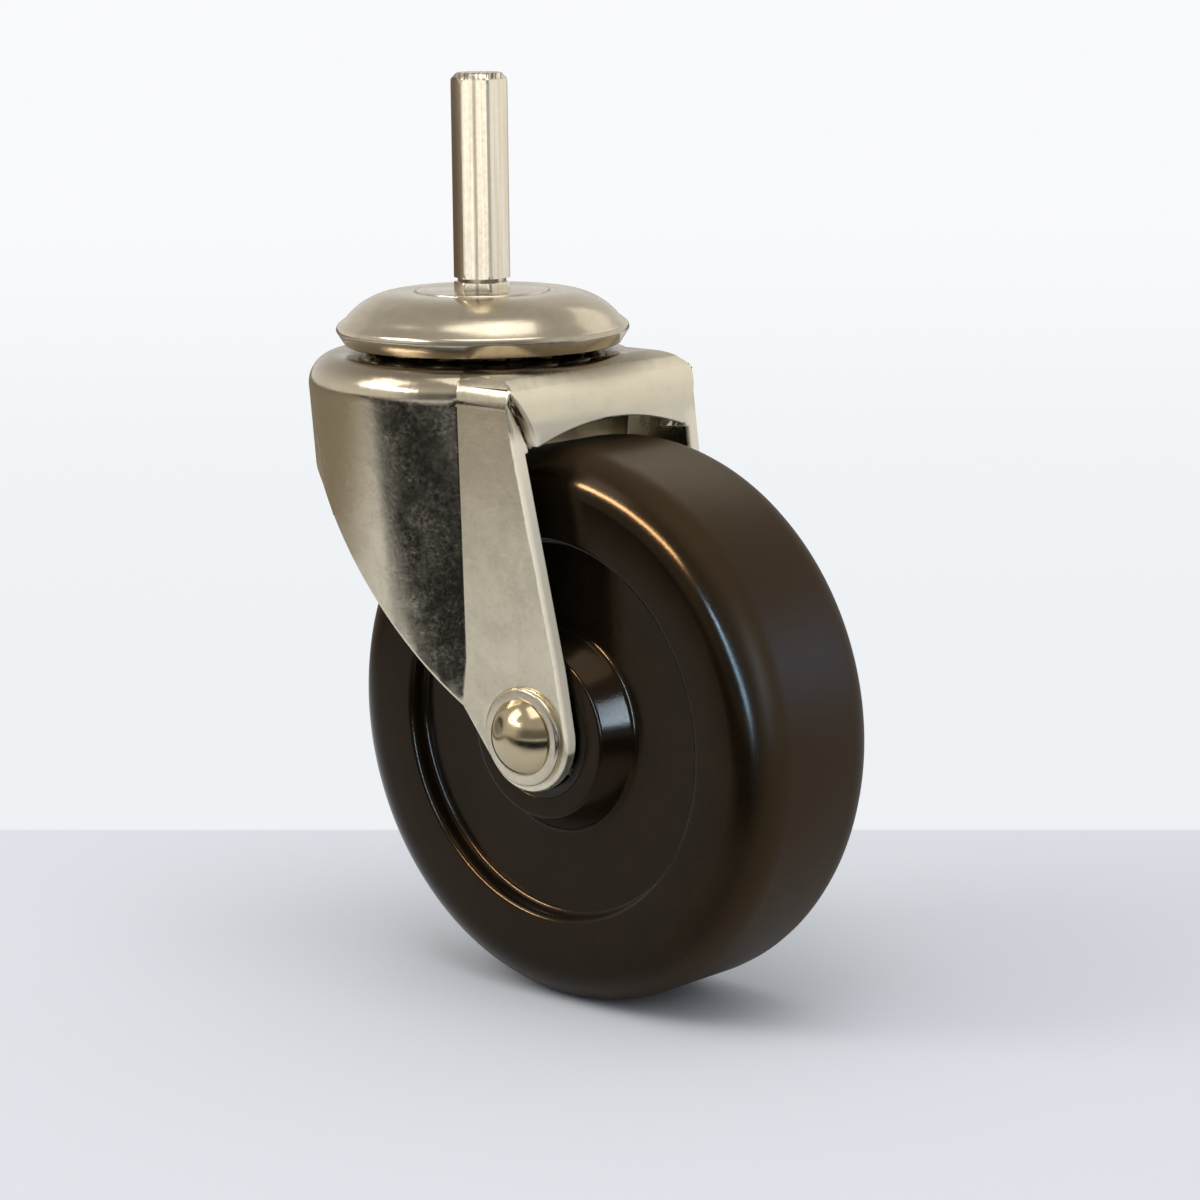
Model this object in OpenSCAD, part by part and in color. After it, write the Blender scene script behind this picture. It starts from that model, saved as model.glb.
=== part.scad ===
// Swivel castor with a hexagonal stem, a pressed fork and a hard rubber wheel.
// Frame: origin on the stem's axis, at the shoulder that a leg seats on. +Z is up.
// +X points from the stem to the wheel (the trail), and Y lies along the axle.

/* [Wheel] */
// Diameter of the wheel
wheel_d = 100; // [90:1:110]
// Width of the tread
wheel_w = 32; // [28:1:34]
// Radius of the tread's shoulders
shoulder_r = 7.6; // [3:0.2:9]
// Radius at which the side face drops to the web
ring_r = 34; // [28:0.5:38]
// Depth of the web below the side face
recess = 3.3; // [1.5:0.1:5]
// Rounding of the recess
recess_round = 1.2; // [0.5:0.1:1.5]
// Radius of the hub at the web
hub_base_r = 18.4; // [16.5:0.1:22]
// Radius of the hub at its end
hub_end_r = 15.2; // [13.5:0.1:16]

/* [Layout] */
// Gap between the tread and the underside of the crown
wheel_gap = 11.4; // [9:0.2:18]
// Distance from the stem's axis to the axle
trail = 30; // [26:1:34]

/* [Stem] */
// Size of the hexagon across its corners
hex_d = 10.6; // [9:0.1:12]
// Length of the stem above the shoulder
stem_l = 39; // [20:1:60]
// Chamfer at the top of the stem
stem_chamfer = 1.3; // [0.5:0.1:2]
// Height of the collar above the shoulder
collar_h = 1.4; // [1:0.1:3]
// Width of the groove above the collar
groove_w = 0.7; // [0.4:0.1:1.5]
// Depth of the groove
groove_d = 0.9; // [0.3:0.1:1.2]
// Radius of the shoulder flange
flange_r = 12; // [10:0.5:13]
// Thickness of the shoulder flange
flange_t = 0.8; // [0.6:0.1:1.2]
// Chamfer of the shoulder flange
flange_edge = 0.3; // [0.1:0.05:0.5]
// Radius of the kingpin below the flange
kingpin_r = 5; // [4:0.1:5.5]

/* [Swivel head] */
// Thickness of the cap's sheet
cap_t = 2.5; // [2.4:0.1:2.7]
// Radius of the cap at its rim
cap_r = 26.7; // [26:0.1:28]
// Depth of the cap's flat top below the shoulder
cap_drop = 0.2; // [0.1:0.1:0.4]
// Radius of the cap's flat top
dome_x = 15; // [14:0.5:16]
// Radius of the dome's curve
dome_r = 12.7; // [12:0.1:14]
// Depth of the rim below the cap's flat top
rim_drop = 6.6; // [6.4:0.1:6.8]
// Height of the skirt that turns in below the rim
skirt_h = 3; // [2.6:0.1:3.2]
// Distance by which the skirt turns in
skirt_in = 1.7; // [1:0.1:1.9]
// Width of the flare that joins the dome to the rim
flare = 1.5; // [1.3:0.05:1.7]
// Gap around the shoulder flange in its recess
flange_gap = 0.25; // [0.1:0.05:0.4]
// Radius of the upper balls
ball_r = 4; // [3.8:0.05:4.1]
// Radius of the circle of upper balls
upper_pitch_r = 19; // [18.6:0.1:19.2]
// Number of upper balls
upper_count = 14; // [8:1:14]
// Radius of the lower balls
lower_ball_r = 2.5; // [2:0.1:2.6]
// Radius of the circle of lower balls
lower_pitch_r = 12.5; // [12.2:0.1:12.8]
// Number of lower balls
lower_count = 14; // [8:1:14]
// Depth of the race grooves in the sheet
groove_sink = 0.4; // [0.2:0.05:0.6]
// Running clearance between a ball and its race
ball_clear = 0.03; // [0.02:0.01:0.06]
// Thickness of the lower cup's sheet
cup_t = 2; // [1.6:0.1:2.4]
// Radius of the lower cup
lower_cup_r = 17.5; // [17.3:0.1:18]
// Height of the lower cup's rim above its floor
cup_rim_h = 3; // [2:0.1:3.2]
// Outer radius of the spacer sleeve
spacer_r = 7; // [6.4:0.1:7.4]
// Radius of the hole in the crown
crown_hole_r = 8.2; // [7.8:0.1:8.6]
// Thickness of the kingpin washer
washer_t = 1.6; // [1:0.1:2]
// Radius of the kingpin washer
kingpin_washer_r = 9; // [8:0.5:10]
// Height of the riveted end
rivet_h = 2.2; // [1.5:0.1:3]
// Distance by which the riveted end laps over its washer
rivet_lap = 1.6; // [1:0.1:2]

/* [Fork] */
// Thickness of the fork's sheet
sheet = 2.5; // [2:0.1:2.8]
// Depth of the crown's top below the shoulder
crown_drop = 11.1; // [10.8:0.1:11.6]
// Radius of the crown's drawn side
crown_r = 30.8; // [30.3:0.1:32]
// Distance by which the drawn side sits behind the stem's axis
crown_back = 1.5; // [0:0.1:2]
// Lean of the drawn side, in degrees
crown_lean = 4; // [2:0.5:8]
// Radius of the shoulder between the crown and its sides
press_r = 5.5; // [4.5:0.5:6.5]
// Half width of the fork below its shoulder
top_half = 24.4; // [24:0.1:25]
// Half width of the fork at the axle
low_half = 21.6; // [21.4:0.05:22]
// Radius of the leg's end
leg_r = 10; // [9.5:0.5:12]
// Height above the axle at which the legs turn parallel
straight_h = 12; // [10.5:0.5:16]
// Place of the leg's front edge at the shoulder
front_x = 29.5; // [28.5:0.1:30.5]
// Place of the leg's rear edge where it meets the skirt
rear_x = -18.5; // [-20:0.5:-17]
// Depth of the rear skirt below the shoulder
rear_drop = 31.3; // [28:0.5:34]
// Radius between the rear skirt's edge and the leg's rear edge
rear_round = 14; // [8:1:20]
// Place of the front lip's outer face
lip_x = 32; // [31:0.1:33]
// Outer bend radius of the front lip
lip_bend = 9; // [7:0.5:10]
// Half width of the lip at its lower edge
lip_half = 19.6; // [18.5:0.1:20]
// Depth of the lip's lower corners below the shoulder
lip_drop = 23.8; // [23:0.1:24.2]
// Rise of the arch in the lip's lower edge
lip_arch = 3.1; // [1.5:0.1:3.5]
// Flat at each end of the arch
arch_flat = 1; // [0.5:0.1:2]
// Slant of the lip's sides, as width for each unit of height
lip_slant = 0.42; // [0.36:0.02:0.44]
// Width of the slit beside the lip
slit = 1; // [0.8:0.1:1.4]
// Depth of the slit's top below the crown's top
slit_drop = 5.3; // [5:0.1:6]
// Distance by which the slit runs back behind the leg's front edge
slit_back = 0.6; // [0.4:0.1:1]
// Thickness of the tabs behind the slits
tab_t = 2; // [1.5:0.1:2.2]
// Distance by which a tab reaches in behind the lip
tab_reach = 2.3; // [1.8:0.1:2.6]
// Height of a tab's inner edge above the lip's lower corners
tab_rise = 3.4; // [3:0.1:3.8]
// Depth of a tab below the lip's lower corners
tab_drop = 1.2; // [0.8:0.1:1.6]

/* [Axle] */
// Radius of the axle rivet
axle_r = 4; // [3:0.1:4.5]
// Radius of the rivet's domed heads
head_r = 6.9; // [6:0.1:7.5]
// Height of the rivet's domed heads
head_h = 4; // [2.5:0.1:5]
// Radius of the washers under the heads
axle_washer_r = 8.8; // [8:0.1:9.2]
// Thickness of the washers under the heads
axle_washer_t = 1.2; // [0.8:0.1:1.6]
// Rounding of their outer edge, as a share of their thickness
washer_round = 0.6; // [0.3:0.1:0.8]
// Outer radius of the axle sleeve
sleeve_r = 6.35; // [5.6:0.05:6.6]
// Running clearance between turning pieces
run = 0.05; // [0.03:0.01:0.08]
// Clearance of pins in fixed holes
pin_clear = 0.05; // [0.03:0.01:0.08]
// Radius of the bearing rollers
roller_r = 1.8; // [1.6:0.05:2]
// Number of bearing rollers
roller_count = 8; // [6:1:9]
// Thickness of the roller cage
cage_t = 0.6; // [0.4:0.1:0.8]
// Width of the cage's end rings
cage_end = 2.5; // [2:0.1:4]
// Wall of the hub's liner
liner_t = 1.5; // [1:0.1:2]
// Thickness of the hub washers
hub_washer_t = 0.5; // [0.4:0.05:0.6]

/* [Hidden] */
$fn = 96;
eps = 0.01;
tuck = 0.02;
far = 200;
over = 1;
hex_turn = 33;

// Heights in the shoulder's frame
cap_top_z = -cap_drop;
seat_z = -flange_t;
rim_z = cap_top_z - rim_drop;
skirt_z = rim_z - skirt_h;
crown_z = -crown_drop;
crown_low_z = crown_z - sheet;
upper_ball_z = crown_z - groove_sink + ball_r + ball_clear;
lower_ball_z = crown_low_z + groove_sink - lower_ball_r - ball_clear;
cup_race_z = lower_ball_z - lower_ball_r - ball_clear;
cup_top_z = cup_race_z + groove_sink;
cup_low_z = cup_top_z - cup_t;
washer_low_z = cup_low_z - washer_t;
axle_z = crown_low_z - wheel_gap - wheel_d / 2;

// Fork
leg_top_z = crown_z - press_r;
inner_top = top_half - sheet;
inner_low = low_half - sheet;
crown_in = crown_r - sheet;
straight_z = axle_z + straight_h;
bend_x = lip_x - lip_bend;
lip_low_z = -lip_drop;
slit_top = crown_z - slit_drop;

// Wheel
half_w = wheel_w / 2;
web_y = half_w - recess;
hub_bore_r = sleeve_r + 2 * roller_r + 2 * run + liner_t;
liner_in_r = hub_bore_r - liner_t;
roller_pitch_r = sleeve_r + run + roller_r;
hub_washer_y = inner_low - run - hub_washer_t;
hub_y = hub_washer_y - run;
roller_y = hub_y - cage_end;

// Groove of round section, sunk into a flat face by groove_sink
module race(pitch, r, z) {
    rotate_extrude()
        race_section(pitch, r, z);
}

module race_section(pitch, r, z) {
    translate([pitch, z])
        circle(r = r + ball_clear);
}

// A row of n balls on a circle
module ball_ring(pitch, r, n, z) {
    for (i = [0:n - 1])
        rotate([0, 0, (i + 0.5) * 360 / n])
            translate([pitch, 0, z])
                sphere(r = r, $fn = 48);
}

// A flat ring about Z that stands on z
module ring(outer, inner, z, h) {
    translate([0, 0, z])
        difference() {
            cylinder(r = outer, h = h);
            translate([0, 0, -eps])
                cylinder(r = inner, h = h + 2 * eps);
        }
}

// Turned shape about the axle: its outline is given as radius and Y
module turned() {
    translate([trail, 0, axle_z])
        rotate([-90, 0, 0])
            rotate_extrude()
                children();
}

// Stem, shoulder flange and kingpin: one forged and turned piece
module stem() {
    color([0.82, 0.78, 0.68])
        union() {
            intersection() {
                rotate([0, 0, hex_turn])
                    cylinder(d = hex_d, h = stem_l, $fn = 6);
                rotate_extrude()
                    polygon(stem_envelope);
            }
            rotate_extrude()
                polygon(kingpin_outline);
            translate([0, 0, washer_low_z])
                rivet_end();
        }
}
stem_envelope = [
    [0, 0],
    [hex_d / 2 + eps, 0],
    [hex_d / 2 + eps, collar_h],
    [hex_d / 2 - groove_d, collar_h],
    [hex_d / 2 - groove_d, collar_h + groove_w],
    [hex_d / 2 + eps, collar_h + groove_w],
    [hex_d / 2 + eps, stem_l - stem_chamfer],
    [hex_d / 2 - stem_chamfer, stem_l],
    [0, stem_l]
];
kingpin_outline = [
    [0, washer_low_z],
    [kingpin_r, washer_low_z],
    [kingpin_r, seat_z],
    [flange_r, seat_z],
    [flange_r, -flange_edge],
    [flange_r - flange_edge, 0],
    [0, 0]
];

// Riveted lower end of the kingpin, a low dome under its washer
module rivet_end() {
    end_r = kingpin_r + rivet_lap;
    dome_r = (end_r * end_r + rivet_h * rivet_h) / (2 * rivet_h);
    intersection() {
        translate([0, 0, dome_r - rivet_h])
            sphere(r = dome_r);
        translate([0, 0, -rivet_h])
            cylinder(r = end_r, h = rivet_h);
    }
}

// Domed cap: the upper race cup. Its rim turns in below the balls
module top_cap() {
    low_z = skirt_z - over;
    color([0.66, 0.62, 0.55])
        rotate_extrude()
            difference() {
                cap_section();
                intersection() {
                    dome_section(cap_t, low_z);
                    hollow_section();
                }
                translate([0, low_z])
                    square([kingpin_r + pin_clear, far]);
                translate([0, seat_z])
                    square([flange_r + flange_gap, far]);
                race_section(upper_pitch_r, ball_r, upper_ball_z);
            }
}
flare_z = cap_top_z - dome_r + sqrt(pow(dome_r - tuck, 2) - pow(cap_r - flare - dome_x, 2));

// Half section of the dome, pared by t and filled down to z
module dome_section(t, z) {
    union() {
        intersection() {
            translate([dome_x, cap_top_z - dome_r])
                circle(r = dome_r - t);
            translate([dome_x - over, z])
                square([far, far]);
        }
        translate([0, z])
            square([dome_x, cap_top_z - t - z]);
    }
}

// Half section of the cap, filled: dome, flared rim and skirt
module cap_section() {
    union() {
        dome_section(0, flare_z - flange_edge);
        polygon([
            [0, skirt_z],
            [cap_r - skirt_in, skirt_z],
            [cap_r, rim_z],
            [cap_r - flare / 4, rim_z + flare / 3],
            [cap_r - flare, flare_z],
            [0, flare_z]
        ]);
    }
}

// Half section of the space inside the skirt
module hollow_section() {
    in_r = cap_r - cap_t;
    low_z = skirt_z - over;
    polygon([
        [0, low_z],
        [in_r - (rim_z - low_z) * skirt_in / skirt_h, low_z],
        [in_r, rim_z],
        [in_r, 0],
        [0, 0]
    ]);
}

// Tube on the kingpin that keeps the cap and the lower cup apart
module spacer_sleeve() {
    color([0.55, 0.55, 0.53])
        ring(spacer_r, kingpin_r + pin_clear, cup_top_z, cap_top_z - cap_t - cup_top_z);
}

// Lower race cup, a dished ring with an upturned rim
module lower_cup() {
    color([0.6, 0.58, 0.53])
        difference() {
            union() {
                ring(lower_cup_r, kingpin_r + pin_clear, cup_low_z, cup_t);
                ring(lower_cup_r, lower_cup_r - cup_t, cup_low_z, cup_t + cup_rim_h);
            }
            race(lower_pitch_r, lower_ball_r, lower_ball_z);
        }
}

// Washer that the kingpin's end is riveted over
module kingpin_washer() {
    color([0.55, 0.54, 0.5])
        ring(kingpin_washer_r, kingpin_r + pin_clear, washer_low_z, washer_t);
}

module upper_balls() {
    color([0.75, 0.72, 0.6])
        ball_ring(upper_pitch_r, ball_r, upper_count, upper_ball_z);
}

module lower_balls() {
    color([0.75, 0.72, 0.6])
        ball_ring(lower_pitch_r, lower_ball_r, lower_count, lower_ball_z);
}

// Half section of the crown's drawn side, filled, pared by t
module crown_section(t) {
    r = press_r - t;
    x = crown_r - press_r;
    z = leg_top_z;
    edge_x = x + (r - tuck) * cos(crown_lean);
    edge_z = z - (r - tuck) * sin(crown_lean);
    union() {
        translate([x, z])
            circle(r = r);
        polygon([
            [0, edge_z - far / 2],
            [edge_x - far / 2 * tan(crown_lean), edge_z - far / 2],
            [edge_x, edge_z],
            [x, z],
            [x, z + r],
            [0, z + r]
        ]);
    }
}

// Section of the legs and the crown between them, filled, pared by t
module leg_section(t) {
    lean = (top_half - low_half) / (leg_top_z - straight_z);
    a = atan(lean);
    r = press_r - t;
    x = top_half - press_r;
    edge_x = x + (r - tuck) * cos(a);
    edge_z = leg_top_z - (r - tuck) * sin(a);
    for (side = [-1, 1])
        scale_x(side)
            union() {
                translate([x, leg_top_z])
                    circle(r = r);
                polygon([
                    [-eps, straight_z - far / 2],
                    [low_half - t, straight_z - far / 2],
                    [low_half - t, straight_z],
                    [edge_x, edge_z],
                    [x, leg_top_z],
                    [x, leg_top_z + r],
                    [-eps, leg_top_z + r]
                ]);
            }
}

// Mirrors its children in X when side is negative
module scale_x(side) {
    if (side < 0)
        mirror([1, 0])
            children();
    else
        children();
}

// Solid enclosed by the sheet, pared by t: the drawn crown and the leg channel
module fork_bulk(t) {
    translate([-crown_back, 0, 0])
        rotate_extrude()
            crown_section(t);
    leg_bulk(t);
}

// Solid enclosed by the legs and the crown between them, pared by t
module leg_bulk(t) {
    rotate([90, 0, 90])
        linear_extrude(trail + leg_r + over)
            leg_section(t);
}

// Extrudes a side view, drawn in X and Z, along Y over the half width w
module side_view(w = far / 2) {
    translate([0, w, 0])
        rotate([90, 0, 0])
            linear_extrude(2 * w)
                children();
}

// Point where a line from p touches the leg's round end, on the given side
function touch(p, side) = let(
    d = p - [trail, axle_z],
    r = leg_r - tuck,
    a = atan2(d[1], d[0]) + side * acos(r / norm(d))
) [trail + r * cos(a), axle_z + r * sin(a)];
front_top = [front_x, leg_top_z];
front_end = touch(front_top, -1);
rear_corner = [rear_x, -rear_drop];
rear_end = touch(rear_corner, 1);

// Side view of the fork's legs, crown and skirt
module leg_view() {
    union() {
        translate([trail, axle_z])
            circle(r = leg_r);
        intersection() {
            polygon([
                [-far / 2, far / 2],
                [-far / 2, -rear_drop],
                rear_corner,
                rear_end,
                [trail, axle_z],
                front_end,
                front_top,
                [front_x, far / 2]
            ]);
            nose_view(far, -far);
        }
        rear_fillet();
    }
}

// Rounding between the skirt's lower edge and the leg's rear edge
module rear_fillet() {
    way = (rear_end - rear_corner) / norm(rear_end - rear_corner);
    turn = -atan2(way[1], way[0]);
    reach = rear_round * tan(turn / 2);
    difference() {
        polygon([rear_corner + [reach, over], rear_corner - [reach, 0], rear_corner + reach * way]);
        translate(rear_corner - [reach, rear_round])
            circle(r = rear_round + tuck);
    }
}

// Side view of what lies under the bend, forward to x and down to z
module nose_view(x, z) {
    union() {
        translate([bend_x, crown_z - lip_bend])
            circle(r = lip_bend);
        polygon([
            [-far / 2, z],
            [x, z],
            [x, crown_z - lip_bend],
            [bend_x, crown_z - lip_bend],
            [bend_x, crown_z],
            [-far / 2, crown_z]
        ]);
    }
}

// Side view of the hollow under the crown: its bend is drawn as flats
module hollow_view() {
    r = lip_bend - sheet;
    flats = 6;
    polygon(concat(
        [[-far / 2, crown_z]],
        [[bend_x, crown_z]],
        [for (i = [0:flats]) [bend_x + r * sin(90 * i / flats), crown_z - lip_bend + r * cos(90 * i / flats)]],
        [[lip_x - sheet, lip_low_z - over]],
        [[far, lip_low_z - over]],
        [[far, -far]],
        [[-far / 2, -far]]
    ));
}

// Front view of the lip: its slanted sides and arched lower edge
module lip_mask() {
    chord = lip_half - arch_flat;
    arch_r = (chord * chord + lip_arch * lip_arch) / (2 * lip_arch);
    top_z = crown_z + over;
    top_w = lip_half + lip_slant * (top_z - lip_low_z);
    translate([bend_x, 0, 0])
        rotate([90, 0, 90])
            linear_extrude(far)
                difference() {
                    polygon([
                        [-lip_half, lip_low_z],
                        [lip_half, lip_low_z],
                        [top_w, top_z],
                        [-top_w, top_z]
                    ]);
                    translate([0, lip_low_z + lip_arch - arch_r])
                        circle(r = arch_r);
                }
}

// Lip and the bend that joins it to the crown, filled behind
module lip() {
    intersection() {
        leg_bulk(0);
        side_view(top_half)
            intersection() {
                nose_view(lip_x, lip_low_z);
                translate([0, lip_low_z])
                    square(far);
            }
        lip_mask();
    }
}

// Space between the legs, under the crown and behind the lip
module hollow() {
    intersection() {
        fork_bulk(sheet);
        side_view()
            hollow_view();
    }
}

// Slit between the lip and a leg
module slits() {
    low_z = lip_low_z - tab_drop - over;
    for (side = [-1, 1])
        translate([front_x - slit_back, 0, 0])
            rotate([90, 0, 90])
                linear_extrude(far)
                    scale_x(side)
                        polygon([
                            [lip_edge(slit_top), slit_top],
                            [lip_edge(low_z), low_z],
                            [lip_edge(low_z) + slit, low_z],
                            [lip_edge(slit_top) + slit, slit_top]
                        ]);
}
function lip_edge(z) = lip_half + lip_slant * (z - lip_low_z);

// Small tab turned in from a leg's front edge, behind the slit's foot
module corner_tabs() {
    bite = sheet / 4;
    for (side = [-1, 1])
        translate([front_x - sheet, 0, 0])
            rotate([90, 0, 90])
                linear_extrude(tab_t)
                    scale_x(side)
                        polygon([
                            [inner_top + bite, slit_top],
                            [inner_top + bite / 2, slit_top - tab_reach],
                            [lip_half + tab_drop, lip_low_z + tab_rise],
                            [lip_half - bite, lip_low_z + tab_rise / 3],
                            [lip_half - tab_reach, lip_low_z - bite],
                            [lip_half - bite, lip_low_z - tab_drop],
                            [inner_top + bite, lip_low_z - tab_drop]
                        ]);
}

// The pressed fork
module fork() {
    color([0.62, 0.58, 0.5])
        difference() {
            union() {
                difference() {
                    union() {
                        intersection() {
                            fork_bulk(0);
                            side_view()
                                leg_view();
                        }
                        lip();
                    }
                    hollow();
                }
                corner_tabs();
            }
            slits();
            translate([0, 0, crown_low_z - over])
                cylinder(r = crown_hole_r, h = sheet + 2 * over);
            race(upper_pitch_r, ball_r, upper_ball_z);
            race(lower_pitch_r, lower_ball_r, lower_ball_z);
            translate([trail, 0, axle_z])
                rotate([90, 0, 0])
                    cylinder(r = axle_r + pin_clear, h = far, center = true);
        }
}

// Axle rivet: a shaft with a domed head on each side
module axle_rivet() {
    seat_y = low_half + axle_washer_t;
    dome_r = (head_r * head_r + head_h * head_h) / (2 * head_h);
    color([0.7, 0.66, 0.6])
        union() {
            translate([trail, 0, axle_z])
                rotate([90, 0, 0])
                    cylinder(r = axle_r, h = 2 * seat_y, center = true);
            for (side = [-1, 1])
                translate([trail, side * seat_y, axle_z])
                    rotate([-90 * side, 0, 0])
                        intersection() {
                            translate([0, 0, head_h - dome_r])
                                sphere(r = dome_r);
                            cylinder(r = head_r, h = head_h);
                        }
        }
}

// Washer under a rivet head, with a rounded outer edge
module axle_washer(side) {
    round_r = axle_washer_t * washer_round;
    translate([trail, side * low_half, axle_z])
        rotate([-90 * side, 0, 0])
            rotate_extrude()
                difference() {
                    union() {
                        translate([axle_r + pin_clear, 0])
                            square([axle_washer_r - round_r - axle_r - pin_clear, axle_washer_t]);
                        translate([axle_r + pin_clear, 0])
                            square([axle_washer_r - axle_r - pin_clear, axle_washer_t - round_r]);
                        translate([axle_washer_r - round_r, axle_washer_t - round_r])
                            circle(r = round_r);
                    }
                    translate([0, -far])
                        square([far, far]);
                }
}

module axle_washer_near() {
    color([0.64, 0.62, 0.56])
        axle_washer(-1);
}

module axle_washer_far() {
    color([0.64, 0.62, 0.56])
        axle_washer(1);
}

// Sleeve clamped between the legs, on which the bearing runs
module axle_sleeve() {
    color([0.5, 0.5, 0.5])
        turned()
            translate([axle_r + pin_clear, -inner_low])
                square([sleeve_r - axle_r - pin_clear, 2 * inner_low]);
}

// One half of the wheel's section, filled, as radius and Y
module wheel_half() {
    fillet = recess_round;
    difference() {
        union() {
            translate([0, -eps])
                square([wheel_d / 2 - shoulder_r, half_w + eps]);
            translate([0, -eps])
                square([wheel_d / 2, half_w - shoulder_r + eps]);
            translate([wheel_d / 2 - shoulder_r, half_w - shoulder_r])
                circle(r = shoulder_r);
        }
        difference() {
            translate([0, web_y])
                square([ring_r, recess + eps]);
            translate([ring_r - fillet, web_y])
                difference() {
                    square([fillet + eps, fillet]);
                    translate([0, fillet])
                        circle(r = fillet);
                }
        }
        translate([ring_r, half_w - fillet])
            difference() {
                square([fillet, fillet + eps]);
                translate([fillet, 0])
                    circle(r = fillet);
            }
    }
    polygon([
        [0, 0],
        [hub_base_r, 0],
        [hub_base_r, web_y],
        [hub_end_r, hub_y],
        [0, hub_y]
    ]);
}

// Hard rubber wheel, moulded in one piece
module wheel() {
    color([0.1, 0.08, 0.06])
        turned()
            difference() {
                union() {
                    wheel_half();
                    mirror([0, 1])
                        wheel_half();
                }
                translate([-eps, -far / 2])
                    square([hub_bore_r + eps, far]);
            }
}

// Steel race tube in the hub's bore
module hub_liner() {
    color([0.55, 0.55, 0.53])
        turned()
            translate([liner_in_r, -hub_y])
                square([liner_t, 2 * hub_y]);
}

// Rollers of the hub's bearing
module bearing_rollers() {
    color([0.75, 0.74, 0.7])
        for (i = [0:roller_count - 1])
            translate([trail, 0, axle_z])
                rotate([0, i * 360 / roller_count, 0])
                    translate([roller_pitch_r, 0, 0])
                        rotate([90, 0, 0])
                            cylinder(r = roller_r, h = 2 * roller_y, center = true, $fn = 32);
}

// Cage that spaces the rollers, with a window for each
module roller_cage() {
    mid = roller_pitch_r;
    window = roller_r + run;
    color([0.5, 0.45, 0.35])
        difference() {
            turned()
                translate([mid - cage_t / 2, -hub_y])
                    square([cage_t, 2 * hub_y]);
            for (i = [0:roller_count - 1])
                translate([trail, 0, axle_z])
                    rotate([0, i * 360 / roller_count, 0])
                        translate([mid, 0, 0])
                            cube([4 * cage_t, 2 * (roller_y + run), 2 * window], center = true);
        }
}

// Thrust washer between the hub and a leg
module hub_washer(side) {
    outer = leg_r - hub_washer_t;
    translate([trail, side * (hub_washer_y + hub_washer_t / 2), axle_z])
        rotate([90, 0, 0])
            difference() {
                cylinder(r = outer, h = hub_washer_t, center = true);
                cylinder(r = sleeve_r + run, h = hub_washer_t + over, center = true);
            }
}

module hub_washer_near() {
    color([0.6, 0.6, 0.56])
        hub_washer(-1);
}

module hub_washer_far() {
    color([0.6, 0.6, 0.56])
        hub_washer(1);
}

stem();
top_cap();
spacer_sleeve();
lower_cup();
kingpin_washer();
upper_balls();
lower_balls();
fork();
axle_rivet();
axle_washer_near();
axle_washer_far();
axle_sleeve();
wheel();
hub_liner();
bearing_rollers();
roller_cage();
hub_washer_near();
hub_washer_far();
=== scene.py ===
# %% [markdown]
# # A stem castor, dressed over its construction
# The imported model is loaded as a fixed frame: every solid is already in its place, in metres,
# with the stem's shoulder at the origin and the wheel in front of it along X.
# The plain bearing parts keep their solids and get a finish. The pieces that the eye rests on,
# such as the pressed fork, the cap, the stem and the wheel, are built again here with the
# rounded edges and soft creases that pressing, turning and moulding leave.

# %% Load the frame
import math
import bmesh
import bpy
import numpy as np
from mathutils import Matrix, Vector


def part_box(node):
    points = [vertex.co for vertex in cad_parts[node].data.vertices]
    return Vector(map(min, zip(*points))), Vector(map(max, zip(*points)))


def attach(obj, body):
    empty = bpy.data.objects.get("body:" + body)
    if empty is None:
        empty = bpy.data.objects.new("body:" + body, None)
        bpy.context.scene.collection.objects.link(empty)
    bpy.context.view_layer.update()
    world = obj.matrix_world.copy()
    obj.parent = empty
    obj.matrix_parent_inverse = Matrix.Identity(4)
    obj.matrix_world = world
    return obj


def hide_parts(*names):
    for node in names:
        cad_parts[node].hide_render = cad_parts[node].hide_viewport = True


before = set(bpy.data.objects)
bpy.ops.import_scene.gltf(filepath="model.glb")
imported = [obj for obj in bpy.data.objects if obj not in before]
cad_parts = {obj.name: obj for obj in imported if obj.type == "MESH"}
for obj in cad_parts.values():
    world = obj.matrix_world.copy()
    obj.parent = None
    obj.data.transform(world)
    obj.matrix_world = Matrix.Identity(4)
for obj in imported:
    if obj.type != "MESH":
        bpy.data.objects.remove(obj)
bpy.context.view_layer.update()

MM = 0.001
MM_IN_A_METRE = 1000.0

# %% Sizes read from the solids
wheel_low, wheel_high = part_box("wheel")
AXLE = (wheel_low + wheel_high) / 2
WHEEL_R = (wheel_high.x - wheel_low.x) / 2
HUB_Y = wheel_high.y
FLOOR_Z = wheel_low.z
CAP_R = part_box("top_cap")[1].x
CAP_LOW, CAP_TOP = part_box("top_cap")[0].z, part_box("top_cap")[1].z
STEM_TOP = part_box("stem")[1].z
LEG_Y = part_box("axle_washer_far")[0].y
WASHER_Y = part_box("axle_washer_far")[1].y
HEAD_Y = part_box("axle_rivet")[1].y
DENT = Vector((AXLE.x - 2.5 * MM, AXLE.z + 2.3 * MM))  # in X and Z, on the near rivet head
print("axle at", [round(v / MM, 2) for v in AXLE], "mm")
print("wheel radius", round(WHEEL_R / MM, 2), "mm")

# %% [markdown]
# ## Camera
# The angle was fitted to the photograph's ellipses: a long lens from the front right, a little
# above the cap, with a slight roll. The camera comes first, because the studio is set around it.

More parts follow.
